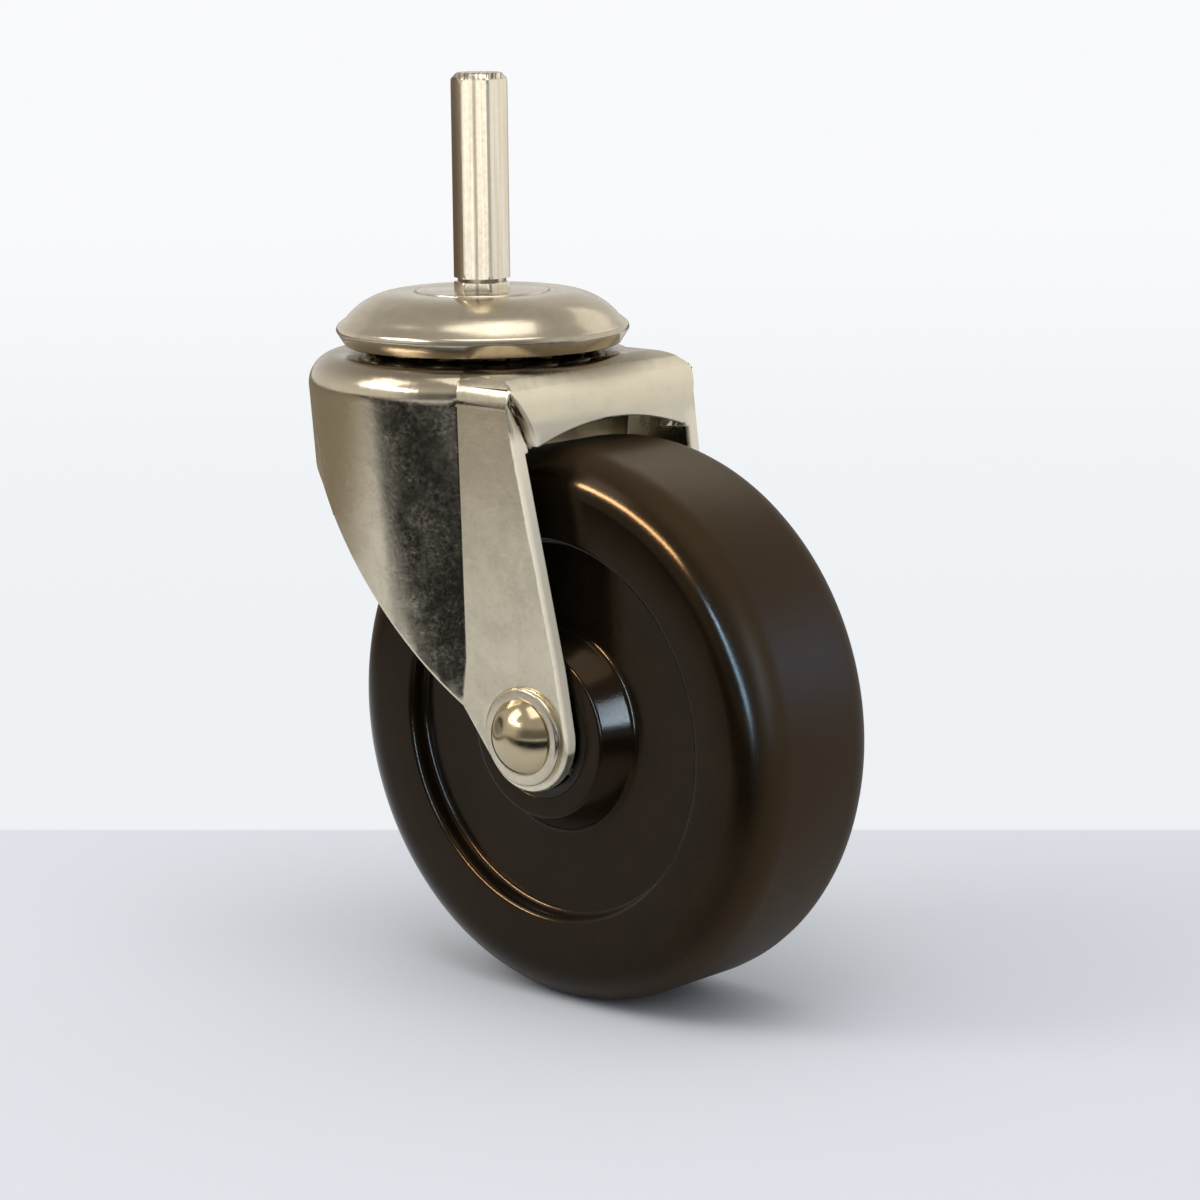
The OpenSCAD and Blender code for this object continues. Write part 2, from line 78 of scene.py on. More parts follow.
# %% Place the camera
AIM = Vector((28.309, 0.0, -54.016)) * MM
AZIMUTH, ELEVATION, ROLL = (math.radians(a) for a in (42.708, 10.965, -0.584))
DISTANCE = 649.38 * MM
back = Vector((math.sin(AZIMUTH) * math.cos(ELEVATION),
               -math.cos(AZIMUTH) * math.cos(ELEVATION),
               math.sin(ELEVATION)))
level = Vector((math.cos(AZIMUTH), math.sin(AZIMUTH), 0))
upward = back.cross(level)
right = math.cos(ROLL) * level + math.sin(ROLL) * upward
upright = -math.sin(ROLL) * level + math.cos(ROLL) * upward

camera = bpy.data.objects.new("camera", bpy.data.cameras.new("camera"))
camera.data.lens = 108.754
camera.data.sensor_width = 36
camera.data.clip_end = 50
place = Matrix((right, upright, back)).transposed().to_4x4()
place.translation = AIM + back * DISTANCE
camera.matrix_world = place
bpy.context.scene.collection.objects.link(camera)
bpy.context.scene.camera = camera
print("camera at", [round(v, 4) for v in place.translation])

# %% [markdown]
# ## Helpers for turned and pressed shapes
# Most pieces of a castor are turned or drawn, so one outline swept round an axis makes them.
# The outline is written as corners, each with the radius that the tool leaves there, and the
# helper turns each corner into a small arc. A sharp corner would catch no light at all.

# %% Round the corners of an outline
MOST_OF_A_SIDE = 0.49  # under a half, so that the roundings at both ends of a side never meet


def rounded(corners, steps=5, closed=True):
    """Corners as (radius, height, rounding) in mm, returned as points in mm."""
    points = []
    count = len(corners)
    for i, (x, z, r) in enumerate(corners):
        here = np.array([x, z], float)
        if r == 0 or (not closed and i in (0, count - 1)):
            points.append(here)
            continue
        before = np.array(corners[i - 1][:2], float) - here
        after = np.array(corners[(i + 1) % count][:2], float) - here
        short = MOST_OF_A_SIDE * min(np.linalg.norm(before), np.linalg.norm(after))
        a, b = before / np.linalg.norm(before), after / np.linalg.norm(after)
        half = math.acos(np.clip(a @ b, -1, 1)) / 2
        reach = min(r / math.tan(half), short)
        radius = reach * math.tan(half)
        centre = here + (a + b) / np.linalg.norm(a + b) * radius / math.sin(half)
        start, end = here + a * reach - centre, here + b * reach - centre
        sweep = math.atan2(start[0] * end[1] - start[1] * end[0], start @ end)
        for k in range(steps + 1):
            t = sweep * k / steps
            turn = np.array([[math.cos(t), -math.sin(t)], [math.sin(t), math.cos(t)]])
            points.append(centre + turn @ start)
    return points


# %% Sweep an outline round an axis
def link_mesh(name, vertices, faces, smooth_angle=40):
    mesh = bpy.data.meshes.new(name)
    mesh.from_pydata([tuple(v) for v in vertices], [], faces)
    shape = bmesh.new()
    shape.from_mesh(mesh)
    bmesh.ops.remove_doubles(shape, verts=shape.verts, dist=1e-7)
    bmesh.ops.recalc_face_normals(shape, faces=shape.faces)
    shape.to_mesh(mesh)
    shape.free()
    piece = bpy.data.objects.new(name, mesh)
    bpy.context.scene.collection.objects.link(piece)
    mesh.shade_smooth()
    mesh.set_sharp_from_angle(angle=math.radians(smooth_angle))
    return piece


def turned(name, outline, axis="Z", centre=(0, 0, 0), segments=160, closed=True):
    """An outline of (radius, height) in mm, swept round Z or Y through centre."""
    cx, cy, cz = centre
    vertices, faces = [], []
    rows = len(outline)
    for k in range(segments):
        angle = 2 * math.pi * k / segments
        for r, h in outline:
            u, v = r * MM * math.cos(angle), r * MM * math.sin(angle)
            if axis == "Z":
                vertices.append((cx + u, cy + v, cz + h * MM))
            else:
                vertices.append((cx + u, cy + h * MM, cz + v))
    for k in range(segments):
        n = (k + 1) % segments
        for i in range(rows if closed else rows - 1):
            j = (i + 1) % rows
            faces.append((k * rows + i, n * rows + i, n * rows + j, k * rows + j))
    piece = link_mesh(name, vertices, faces)
    print(name, "made of", len(piece.data.polygons), "faces")
    return piece


# %% Turn modifiers into a plain mesh
def apply_modifiers(piece):
    graph = bpy.context.evaluated_depsgraph_get()
    made = bpy.data.meshes.new_from_object(piece.evaluated_get(graph))
    piece.modifiers.clear()
    piece.data = made
    print(piece.name, "has", len(made.polygons), "faces")


# %% [markdown]
# ## Where edges and hollows are
# Wear brightens the edges that stand out. The hollows are darkened on the metal pieces as painted
# shade, and made a little lighter on the rubber. Both follow from how the surface bends, so each
# mesh gets a number per point, above a half where it bulges and below a half where it is hollow.
# The materials read it as an attribute of the piece.

# %% Store the bend of a surface on its points
def mark_bend(piece, size, passes=3):
    """Bends of about this size in mm count in full. Each pass smooths the number once."""
    mesh = piece.data
    count = len(mesh.vertices)
    co = np.empty(count * 3)
    mesh.vertices.foreach_get("co", co)
    co = co.reshape(-1, 3)
    normal = np.empty(count * 3)
    mesh.vertices.foreach_get("normal", normal)
    normal = normal.reshape(-1, 3)
    ends = np.empty(len(mesh.edges) * 2, int)
    mesh.edges.foreach_get("vertices", ends)
    a, b = ends.reshape(-1, 2).T
    step = co[b] - co[a]
    length = np.maximum((step ** 2).sum(1), 1e-12)
    bend = ((normal[b] - normal[a]) * step).sum(1) / length
    total, share = np.zeros(count), np.zeros(count)
    for p in (a, b):
        np.add.at(total, p, bend)
        np.add.at(share, p, 1)
    value = total / np.maximum(share, 1)
    for _ in range(passes):
        spread, share = value.copy(), np.ones(count)
        np.add.at(spread, a, value[b])
        np.add.at(spread, b, value[a])
        np.add.at(share, a, 1)
        np.add.at(share, b, 1)
        value = spread / share
    value = 0.5 + 0.5 * np.tanh(value * size * MM)
    store = mesh.attributes.new("bend", "FLOAT", "POINT")
    store.data.foreach_set("value", value.astype(np.float32))
    print(piece.name, "bend from", round(float(value.min()), 2), "to", round(float(value.max()), 2))


# %% [markdown]
# ## Effects that several finishes share
# A node group is written once and placed in each material with its own numbers.
# Three are enough here: clouded plating, fine marks of a tool, and masks of worn edges and of
# hollows.
# They put out masks and heights only, and the shader itself stays in each material.

# %% Small helpers for node trees
MIX_FACTOR, MIX_A, MIX_B, MIX_RESULT = 0, 6, 7, 2  # the colour sockets of a Mix node


def feed(tree, socket, value):
    """Links a socket to another one, or sets its number, vector or colour."""
    if isinstance(value, bpy.types.NodeSocket):
        tree.links.new(value, socket)
    elif socket.type == "RGBA":
        socket.default_value = (*value[:3], 1)
    else:
        socket.default_value = value


def put(tree, kind, settings=None, **inputs):
    made = tree.nodes.new(kind if kind.startswith("Geometry") else "ShaderNode" + kind)
    for key, value in (settings or {}).items():
        setattr(made, key, value)
    for key, value in inputs.items():
        feed(tree, made.inputs[key.replace("_", " ")], value)
    return made


def calc(tree, operation, *values):
    """A Math node, or a chain of them where there are more than two values."""
    made = put(tree, "Math", {"operation": operation})
    for socket, value in zip(made.inputs, values[:2]):
        feed(tree, socket, value)
    result = made.outputs[0]
    return calc(tree, operation, result, *values[2:]) if len(values) > 2 else result


def hypotenuse(tree, a, b):
    squares = calc(tree, "ADD", calc(tree, "POWER", a, 2.0), calc(tree, "POWER", b, 2.0))
    return calc(tree, "SQRT", squares)


def distance_along(tree, parts, way):
    """How far a point, split into X, Y and Z, lies along a level direction."""
    x, y = (calc(tree, "MULTIPLY", parts[i], way[i]) for i in (0, 1))
    return calc(tree, "ADD", x, y)


def remap(tree, value, low, high, to_low=0.0, to_high=1.0):
    made = put(tree, "MapRange", {"interpolation_type": "SMOOTHSTEP"}, Value=value,
               From_Min=low, From_Max=high, To_Min=to_low, To_Max=to_high)
    return made.outputs["Result"]


def tint(tree, factor, first, second, blend="MIX"):
    made = put(tree, "Mix", {"data_type": "RGBA", "blend_type": blend, "clamp_factor": True})
    for index, value in ((MIX_FACTOR, factor), (MIX_A, first), (MIX_B, second)):
        feed(tree, made.inputs[index], value)
    return made.outputs[MIX_RESULT]


def coat(tree, tone, mask, amount, colour):
    """Lays a colour over the tone where the mask says so."""
    return tint(tree, calc(tree, "MULTIPLY", mask, amount), tone, colour)


def in_mm(tree, point):
    scaled = put(tree, "VectorMath", {"operation": "SCALE"}, Vector=point, Scale=MM_IN_A_METRE)
    return scaled.outputs[0]


def noise(tree, spot, size, **settings):
    """Noise at a spot in mm, with patches of about the size that a socket gives."""
    made = put(tree, "TexNoise", Vector=spot, **settings)
    feed(tree, made.inputs["Scale"], calc(tree, "DIVIDE", 1.0, size))
    return made.outputs[0]


# %% Start, use and end a group
def new_group(name, inputs, outputs):
    """inputs as {name: number, or None for a vector}. Returns the tree, its input and output."""
    tree = bpy.data.node_groups.new(name, "ShaderNodeTree")
    for label, number in inputs.items():
        kind = "NodeSocketVector" if number is None else "NodeSocketFloat"
        socket = tree.interface.new_socket(label, in_out="INPUT", socket_type=kind)
        if number is not None:
            socket.default_value = number
    for label in outputs:
        tree.interface.new_socket(label, in_out="OUTPUT", socket_type="NodeSocketFloat")
    return tree, tree.nodes.new("NodeGroupInput").outputs, tree.nodes.new("NodeGroupOutput").inputs


def use_group(tree, group, **inputs):
    return put(tree, "Group", {"node_tree": group}, **inputs).outputs


def end_group(tree, result, **outputs):
    for label, value in outputs.items():
        feed(tree, result[label], value)
    print("group", tree.name, "with", len(tree.nodes), "nodes")


# %% Group: clouded plating
clouds, given, result = new_group(
    "clouded_plating", {"Point": None, "Cloud size": 9.0, "Speck size": 0.8},
    ["Cloud", "Speck", "Height"])
spot = in_mm(clouds, given["Point"])
large = noise(clouds, spot, given["Cloud size"], Detail=5.0, Roughness=0.62, Distortion=0.6)
small = noise(clouds, spot, given["Speck size"], Detail=4.0, Roughness=0.7, Distortion=0.2)
end_group(clouds, result, Cloud=remap(clouds, large, 0.25, 0.75),
          Speck=remap(clouds, small, 0.3, 0.7),
          Height=calc(clouds, "ADD", large, calc(clouds, "MULTIPLY", small, 0.12)))

# %% Group: marks of a tool
# Drawing leaves fine lines along a bar, and turning leaves rings round an axis.
# The point is squeezed across the marks and stretched along them before the noise is read.
marks, given, result = new_group(
    "tool_marks", {"Across": 0.0, "Along": 0.0, "Fineness": 6.0, "Length": 0.15},
    ["Height", "Streak"])
across = calc(marks, "MULTIPLY", given["Across"], MM_IN_A_METRE, given["Fineness"])
along = calc(marks, "MULTIPLY", given["Along"], MM_IN_A_METRE, given["Length"])
spot = put(marks, "CombineXYZ", X=across, Y=along, Z=0.0).outputs[0]
fine = put(marks, "TexNoise", Vector=spot, Scale=1.0, Detail=3.0, Roughness=0.6)
broad = put(marks, "TexNoise", Vector=spot, Scale=0.22, Detail=3.0, Roughness=0.55)
end_group(marks, result, Height=fine.outputs[0],
          Streak=remap(marks, broad.outputs[0], 0.38, 0.64))

# %% Group: masks of worn edges and of hollows; the metals darken the hollows as painted shade
edge_and_hollow_masks, given, result = new_group(
    "worn_edges_and_hollows", {"Point": None, "Start": 0.62, "Full": 0.85, "Patch size": 3.0},
    ["Edge", "Hollow"])
bend = put(edge_and_hollow_masks, "Attribute", {"attribute_name": "bend"}).outputs["Fac"]
patch = noise(edge_and_hollow_masks, in_mm(edge_and_hollow_masks, given["Point"]), given["Patch size"], Detail=3.0, Roughness=0.6)
unevenness = calc(edge_and_hollow_masks, "MULTIPLY", calc(edge_and_hollow_masks, "SUBTRACT", patch, 0.5), 0.22)
ragged = calc(edge_and_hollow_masks, "ADD", bend, unevenness)
edge = put(edge_and_hollow_masks, "MapRange", Value=ragged, From_Min=given["Start"], From_Max=given["Full"])
end_group(edge_and_hollow_masks, result, Edge=edge.outputs["Result"], Hollow=remap(edge_and_hollow_masks, ragged, 0.42, 0.2))


# %% Start a material
def new_material(name, colour, metal, rough):
    """The colour and roughness here are what a plain viewport shows. Nodes replace them."""
    material = bpy.data.materials.new(name)
    material.use_nodes = True
    tree = material.node_tree
    shader = tree.nodes["Principled BSDF"]
    shader.inputs["Metallic"].default_value = metal
    shader.inputs["Roughness"].default_value = rough
    shader.inputs["Base Color"].default_value = (*colour, 1)
    material.diffuse_color = (*colour, 1)
    point = tree.nodes.new("ShaderNodeTexCoord").outputs["Object"]
    return material, tree, shader, point


def surface(tree, shader, tone, gloss, height, depth_mm):
    """Connects the colour, the roughness and the relief of a material."""
    feed(tree, shader.inputs["Base Color"], tone)
    feed(tree, shader.inputs["Roughness"], gloss)
    relief = put(tree, "Bump", Height=height, Strength=1.0, Distance=depth_mm * MM)
    feed(tree, shader.inputs["Normal"], relief.outputs[0])


def split(tree, point):
    return put(tree, "SeparateXYZ", Vector=point).outputs


def axle_polar(tree, point):
    """Distance from the axle's line, and distance along it."""
    offset = put(tree, "VectorMath", {"operation": "SUBTRACT"}, Vector=point)
    offset.inputs[1].default_value = AXLE
    parts = split(tree, offset.outputs[0])
    return hypotenuse(tree, parts[0], parts[2]), parts[1]


def stem_polar(tree, point):
    """Distance from the stem's axis, and height."""
    parts = split(tree, point)
    return hypotenuse(tree, parts[0], parts[1]), parts[2]


# %% [markdown]
# ## Finishes
# Plated steel isn't one grey. On the fork the plating is clouded and a little yellow, because
# the sheet was stretched by the press before it was plated. The legs' front rims were sheared,
# so they are brighter and duller than the sheet, and a painted shadow of the cap lies on the crown
# round it.
# The cap was polished, so it has fewer clouds and faint rings. The stem was drawn as a bar, so
# its lines run along it. Distances in the materials are in metres.

# %% Clouded plate of the fork
RIM_X, RIM_SLOPE = 0.0265, 0.186  # a leg's front rim is the line X = RIM_X - RIM_SLOPE * Z
RAGGED_BY = 0.0003
fork_steel, tree, shader, point = new_material("fork_steel", (0.55, 0.51, 0.43), 1.0, 0.3)
cloud = use_group(tree, clouds, Point=point, Cloud_size=11.0, Speck_size=0.7)
veil = use_group(tree, clouds, Point=point, Cloud_size=3.5, Speck_size=1.6)
edges = use_group(tree, edge_and_hollow_masks, Point=point, Start=0.56, Full=0.72, Patch_size=2.5)
parts = split(tree, point)
tone = tint(tree, cloud["Cloud"], (0.58, 0.515, 0.385), (0.68, 0.605, 0.455))
tone = coat(tree, tone, veil["Cloud"], 0.25, (0.52, 0.46, 0.34))
tone = coat(tree, tone, edges["Edge"], 0.8, (0.97, 0.9, 0.72))
# Painted shade: the hollows of the pressing are darkened.
tone = coat(tree, tone, edges["Hollow"], 0.55, (0.13, 0.11, 0.085))
# Painted shadow: the crown's top is darkened in a ring round the cap, where the cap's rim shades
# it.
near_cap = remap(tree, stem_polar(tree, point)[0], 0.0335, 0.027)
cap_shadow = calc(tree, "MULTIPLY", near_cap, remap(tree, parts[2], -0.0165, -0.0125))
tone = coat(tree, tone, cap_shadow, 0.75, (0.2, 0.155, 0.105))
slant = calc(tree, "MULTIPLY", parts[2], RIM_SLOPE)
ragged = calc(tree, "MULTIPLY", calc(tree, "SUBTRACT", veil["Cloud"], 0.5), RAGGED_BY)
from_rim = calc(tree, "ADD", calc(tree, "SUBTRACT", parts[0], RIM_X), slant, ragged)
sheared = calc(tree, "MULTIPLY", remap(tree, from_rim, -0.0012, -0.0007),
               remap(tree, calc(tree, "ABSOLUTE", parts[1]), 0.0185, 0.0195),
               remap(tree, parts[2], -0.02, -0.023))
tone = tint(tree, sheared, tone, (1.0, 0.92, 0.74))
metallic = calc(tree, "SUBTRACT", 1.0, calc(tree, "MULTIPLY", sheared, 0.75))
feed(tree, shader.inputs["Metallic"], metallic)
speckle = calc(tree, "MULTIPLY", cloud["Speck"], veil["Cloud"], 0.16)
rubbed = calc(tree, "MULTIPLY", calc(tree, "MAXIMUM", edges["Edge"], sheared), 0.3)
gloss = calc(tree, "ADD", remap(tree, cloud["Cloud"], 0.0, 1.0, 0.18, 0.11), speckle, rubbed)
surface(tree, shader, tone, gloss, calc(tree, "ADD", veil["Height"], cloud["Height"]), 0.025)

# %% Polished plate of the cap
SEAM_R = 0.01235  # where the stem's flange sits in the cap
polished_steel, tree, shader, point = new_material("polished_steel", (0.62, 0.57, 0.47), 1.0, 0.16)
radius, height = stem_polar(tree, point)
rings = use_group(tree, marks, Across=radius, Along=height, Fineness=5.0, Length=1.5)
cloud = use_group(tree, clouds, Point=point, Cloud_size=14.0, Speck_size=1.2)
edges = use_group(tree, edge_and_hollow_masks, Point=point, Start=0.62, Full=0.85, Patch_size=3.0)
tone = tint(tree, cloud["Cloud"], (0.5, 0.435, 0.325), (0.66, 0.58, 0.44))
tone = coat(tree, tone, edges["Edge"], 0.6, (0.85, 0.81, 0.7))
# Painted shade: the hollows of the cap, flange and rivet are darkened.
tone = coat(tree, tone, edges["Hollow"], 0.6, (0.12, 0.1, 0.08))
# Painted shade: a dark line in the seam where the stem's flange sits in the cap.
from_seam = calc(tree, "ABSOLUTE", calc(tree, "SUBTRACT", radius, SEAM_R))
seam_shade = calc(tree, "MULTIPLY", remap(tree, from_seam, 0.0005, 0.00015),
            remap(tree, height, -0.001, -0.0005), remap(tree, cloud["Cloud"], 0.35, 0.6))
tone = coat(tree, tone, seam_shade, 0.85, (0.06, 0.045, 0.03))
at_the_axle = remap(tree, height, -0.04, -0.05)
tone = tint(tree, at_the_axle, tone, (0.88, 0.83, 0.7), "MULTIPLY")
parts = split(tree, point)
# Painted reflection: a dark spot round the dent on the rivet's head, for what the dent mirrors.
from_dent = hypotenuse(tree, calc(tree, "SUBTRACT", parts[0], DENT.x),
                       calc(tree, "SUBTRACT", parts[2], DENT.y))
dent_reflection = calc(tree, "MULTIPLY", remap(tree, from_dent, 0.0026, 0.001),
            remap(tree, parts[1], -0.02, -0.0245))
tone = coat(tree, tone, dent_reflection, 0.75, (0.1, 0.075, 0.045))
gloss = calc(tree, "ADD", remap(tree, cloud["Cloud"], 0.0, 1.0, 0.19, 0.12),
             calc(tree, "MULTIPLY", rings["Streak"], 0.05))
relief = calc(tree, "ADD", calc(tree, "MULTIPLY", rings["Height"], 0.2), cloud["Height"])
surface(tree, shader, tone, gloss, relief, 0.03)

# %% Drawn bar of the stem
ACROSS_THE_BAR = (1.0, 0.83)
REFLECTION_LINE_WAY = math.radians(123)  # the way of a painted dark reflection line down the middle of the front flat
FRONT_WAY = (0.545, -0.839)
stem_steel, tree, shader, point = new_material("stem_steel", (0.79, 0.73, 0.6), 1.0, 0.27)
parts = split(tree, point)
side = distance_along(tree, parts, ACROSS_THE_BAR)
lines = use_group(tree, marks, Across=side, Along=parts[2], Fineness=7.0, Length=0.12)
cloud = use_group(tree, clouds, Point=point, Cloud_size=5.0, Speck_size=0.8)
edges = use_group(tree, edge_and_hollow_masks, Point=point, Start=0.6, Full=0.8, Patch_size=2.0)
tone = tint(tree, lines["Streak"], (0.85, 0.755, 0.58), (0.97, 0.89, 0.72))
tone = coat(tree, tone, edges["Edge"], 0.5, (0.93, 0.89, 0.8))
# Painted shade: the groove and other hollows of the bar are darkened.
tone = coat(tree, tone, edges["Hollow"], 0.8, (0.16, 0.12, 0.08))
# Painted reflection: a dark line down the middle of the front flat.
from_reflection_line = distance_along(tree, parts, (math.sin(REFLECTION_LINE_WAY), -math.cos(REFLECTION_LINE_WAY)))
reflection_line = calc(tree, "MULTIPLY", remap(tree, calc(tree, "ABSOLUTE", from_reflection_line), 0.0005, 0.00015),
            remap(tree, distance_along(tree, parts, FRONT_WAY), 0.003, 0.004),
            remap(tree, lines["Streak"], -0.6, 1.0))
tone = coat(tree, tone, reflection_line, 0.7, (0.2, 0.16, 0.11))
# Painted shade: the side of the bar that faces left of the camera is darkened.
left_side_shade = remap(tree, distance_along(tree, parts, level), -0.0025, -0.0046)
tone = tint(tree, left_side_shade, tone, (0.36, 0.25, 0.14))
# Painted shade: dark streaks on the top chamfer, which lies in shadow.
at_chamfer = remap(tree, parts[2], STEM_TOP - 1.4 * MM, STEM_TOP - 0.9 * MM)
chamfer_shade = calc(tree, "MULTIPLY", at_chamfer, remap(tree, lines["Streak"], 0.25, 0.7))
tone = coat(tree, tone, chamfer_shade, 0.8, (0.12, 0.08, 0.045))
gloss = calc(tree, "ADD", 0.2, calc(tree, "MULTIPLY", cloud["Speck"], 0.05))
surface(tree, shader, tone, gloss, lines["Height"], 0.006)

# %% Plain bearing parts
# Close to the axle, in the hub's narrow gap, they are painted nearly black as shade.
plain_steel, tree, shader, point = new_material("plain_steel", (0.5, 0.48, 0.44), 1.0, 0.35)
radius, width = axle_polar(tree, point)
rings = use_group(tree, marks, Across=radius, Along=width, Fineness=4.0, Length=2.0)
cloud = use_group(tree, clouds, Point=point, Cloud_size=5.0, Speck_size=0.6)
tone = tint(tree, cloud["Cloud"], (0.42, 0.4, 0.35), (0.58, 0.555, 0.5))
# Painted shade: nearly black close to the axle, in the hub's narrow gap.
tone = coat(tree, tone, remap(tree, radius, 0.022, 0.019), 0.95, (0.02, 0.018, 0.014))
gloss = calc(tree, "ADD", 0.28, calc(tree, "MULTIPLY", cloud["Speck"], 0.16))
surface(tree, shader, tone, gloss, rings["Height"], 0.02)

# %% Hardened balls and rollers
ball_steel, tree, shader, point = new_material("ball_steel", (0.66, 0.63, 0.52), 1.0, 0.12)
film = use_group(tree, clouds, Point=point, Cloud_size=3.0, Speck_size=0.5)
tone = tint(tree, film["Cloud"], (0.6, 0.56, 0.44), (0.72, 0.7, 0.6))
gloss = calc(tree, "ADD", 0.09, calc(tree, "MULTIPLY", film["Cloud"], 0.12))
surface(tree, shader, tone, gloss, film["Speck"], 0.004)

# %% [markdown]
# ## Hard rubber
# The wheel is a hot-pressed hard rubber, black with a brown cast. The mould's face leaves it
# satin, and rubbing dulls the tread more than the recessed side. A hard rubber reflects little
# face on, so its specular level is low, and lowest on the rubbed tread.

# %% Black brown rubber
SIDE_ENDS, TREAD_STARTS = 0.0455, 0.0495  # distances from the axle, across the round shoulder
black_rubber, tree, shader, point = new_material("black_rubber", (0.012, 0.007, 0.0035), 0.0, 0.3)
shader.inputs["Specular Tint"].default_value = (0.64, 0.42, 0.24, 1)
radius, width = axle_polar(tree, point)
rings = use_group(tree, marks, Across=radius, Along=width, Fineness=2.2, Length=0.8)
grain = use_group(tree, clouds, Point=point, Cloud_size=12.0, Speck_size=0.45)
edges = use_group(tree, edge_and_hollow_masks, Point=point, Start=0.6, Full=0.9, Patch_size=4.0)
tone = tint(tree, grain["Cloud"], (0.0065, 0.0042, 0.0018), (0.011, 0.0072, 0.0034))
tone = tint(tree, remap(tree, radius, 0.046, 0.0497), tone, (0.036, 0.022, 0.0095))
tone = coat(tree, tone, edges["Hollow"], 0.4, (0.03, 0.023, 0.016))
gloss = calc(tree, "ADD", remap(tree, radius, SIDE_ENDS, TREAD_STARTS, 0.13, 0.42),
             calc(tree, "MULTIPLY", grain["Speck"], 0.05))
shine = remap(tree, radius, SIDE_ENDS, TREAD_STARTS, 0.3, 0.12)
feed(tree, shader.inputs["Specular IOR Level"], shine)
relief = calc(tree, "ADD", calc(tree, "MULTIPLY", rings["Height"], 0.4),
              calc(tree, "MULTIPLY", grain["Speck"], 0.4))
surface(tree, shader, tone, gloss, relief, 0.005)
FINISHES = (fork_steel, polished_steel, stem_steel, plain_steel, ball_steel, black_rubber)
print("finishes:", [finished.name for finished in FINISHES])


# %% Give the plain solids their finish
def dress(node, material):
    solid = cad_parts[node]
    solid.data.materials.clear()
    solid.data.materials.append(material)


for name in ("lower_cup", "kingpin_washer", "spacer_sleeve", "axle_sleeve", "roller_cage",
             "hub_liner", "hub_washer_near", "hub_washer_far"):
    dress(name, plain_steel)


def finish(piece, material, body, slot, *nodes, bend_size=0.6):
    """Gives a new piece its finish and its body, and lets it stand for its solids."""
    mark_bend(piece, bend_size)
    piece.data.materials.clear()
    piece.data.materials.append(material)
    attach(piece, body)
    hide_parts(*nodes)
    return piece


# %% [markdown]
# ## Wheel
# A moulded wheel is one outline turned round the axle: tread, round shoulder, a side face, a
# ring that drops to the web, and a cone that rises to the hub's end. Every corner of a mould is
# rounded, so the rubber fills it.

# %% Turn the wheel
R = WHEEL_R / MM
HALF_W, SHOULDER, RING_R, WEB_Y = 16.0, 7.6, 34.0, 12.7
CONE_FOOT, CONE_END, HUB_END, HUB_BORE = 18.4, 15.2, HUB_Y / MM, 11.5
side = [
    (R, 0, 0), (R, HALF_W, SHOULDER), (RING_R, HALF_W, 1.2), (RING_R, WEB_Y, 1.2),
    (CONE_FOOT, WEB_Y, 1.6), (CONE_END, HUB_END, 0.9), (HUB_BORE, HUB_END, 0.25),
    (HUB_BORE, 0, 0),
]
upper = rounded(side, steps=9, closed=False)
lower = [(r, -h) for r, h in reversed(upper)][1:-1]
wheel = turned("wheel_rubber", list(upper) + lower, axis="Y", centre=AXLE, segments=224)
finish(wheel, black_rubber, "wheel_body", "black_rubber", "wheel")

# %% [markdown]
# ## Cap
# The cap is drawn from sheet and its rim is turned in below the balls. Seen from the side it is
# a low dome with a flat middle, a flared edge and a short skirt that slopes inwards.

# %% Turn the cap
SHEET = 2.5
DOME_R, DOME_X = 12.7, 15.0
cap_top, skirt, cap_r = CAP_TOP / MM, CAP_LOW / MM, CAP_R / MM
rim = skirt + 3.0
BORE_R, FLANGE_SEAT, SEAT_R = 5.06, -0.85, 12.22


def dome(radius, start, end, steps):
    """An arc of the dome's section, between two angles from upright, in degrees."""
    return [(DOME_X + radius * math.sin(a), cap_top - DOME_R + radius * math.cos(a))
            for a in np.radians(np.linspace(start, end, steps))]


outer, inner = dome(DOME_R, 0, 52, 15), dome(DOME_R - SHEET, 58, 0, 12)
edge = rounded([
    (*outer[-1], 0), (cap_r - 0.2, rim + 0.6, 0.9), (cap_r, rim - 0.3, 0.5),
    (cap_r - 1.7, skirt, 0.5), (cap_r - 4.1, skirt, 0.4), (cap_r - 2.5, rim, 0.4),
    (*inner[0], 0),
], steps=4, closed=False)
recess = rounded([
    (12.6, cap_top - SHEET, 0), (BORE_R, cap_top - SHEET, 0.2), (BORE_R, FLANGE_SEAT, 0.2),
    (SEAT_R, FLANGE_SEAT, 0.2), (12.45, cap_top, 0.25), (13.5, cap_top, 0),
], steps=3, closed=False)
outline = list(outer) + list(edge[1:-1]) + list(inner) + list(recess)
cap = turned("cap_shell", outline, segments=192)
finish(cap, polished_steel, "head", "polished_steel", "top_cap")

# %% [markdown]
# ## Stem
# A hexagonal bar is a stack of sections. Each section is the hexagon cut to a circle, and the
# circle shrinks where the bar is chamfered or grooved, so one rule gives the chamfered top, the
# flats, the undercut and the collar. The corners of a drawn bar are a little blunt, so a circle
# just inside them cuts every section.

# %% Build the stem
HEX_R, HEX_TURN, BLUNT = 5.3, math.radians(33), 0.12
UNCUT = 9  # a circle outside the hexagon


def hexagon(limit, points=144):
    ring = []
    for k in range(points):
        angle = 2 * math.pi * k / points
        turn = (angle - HEX_TURN) % (math.pi / 3) - math.pi / 6
        flat = HEX_R * math.cos(math.pi / 6) / math.cos(turn)
        r = min(flat, HEX_R - BLUNT, limit)
        ring.append((r * math.cos(angle), r * math.sin(angle)))
    return ring


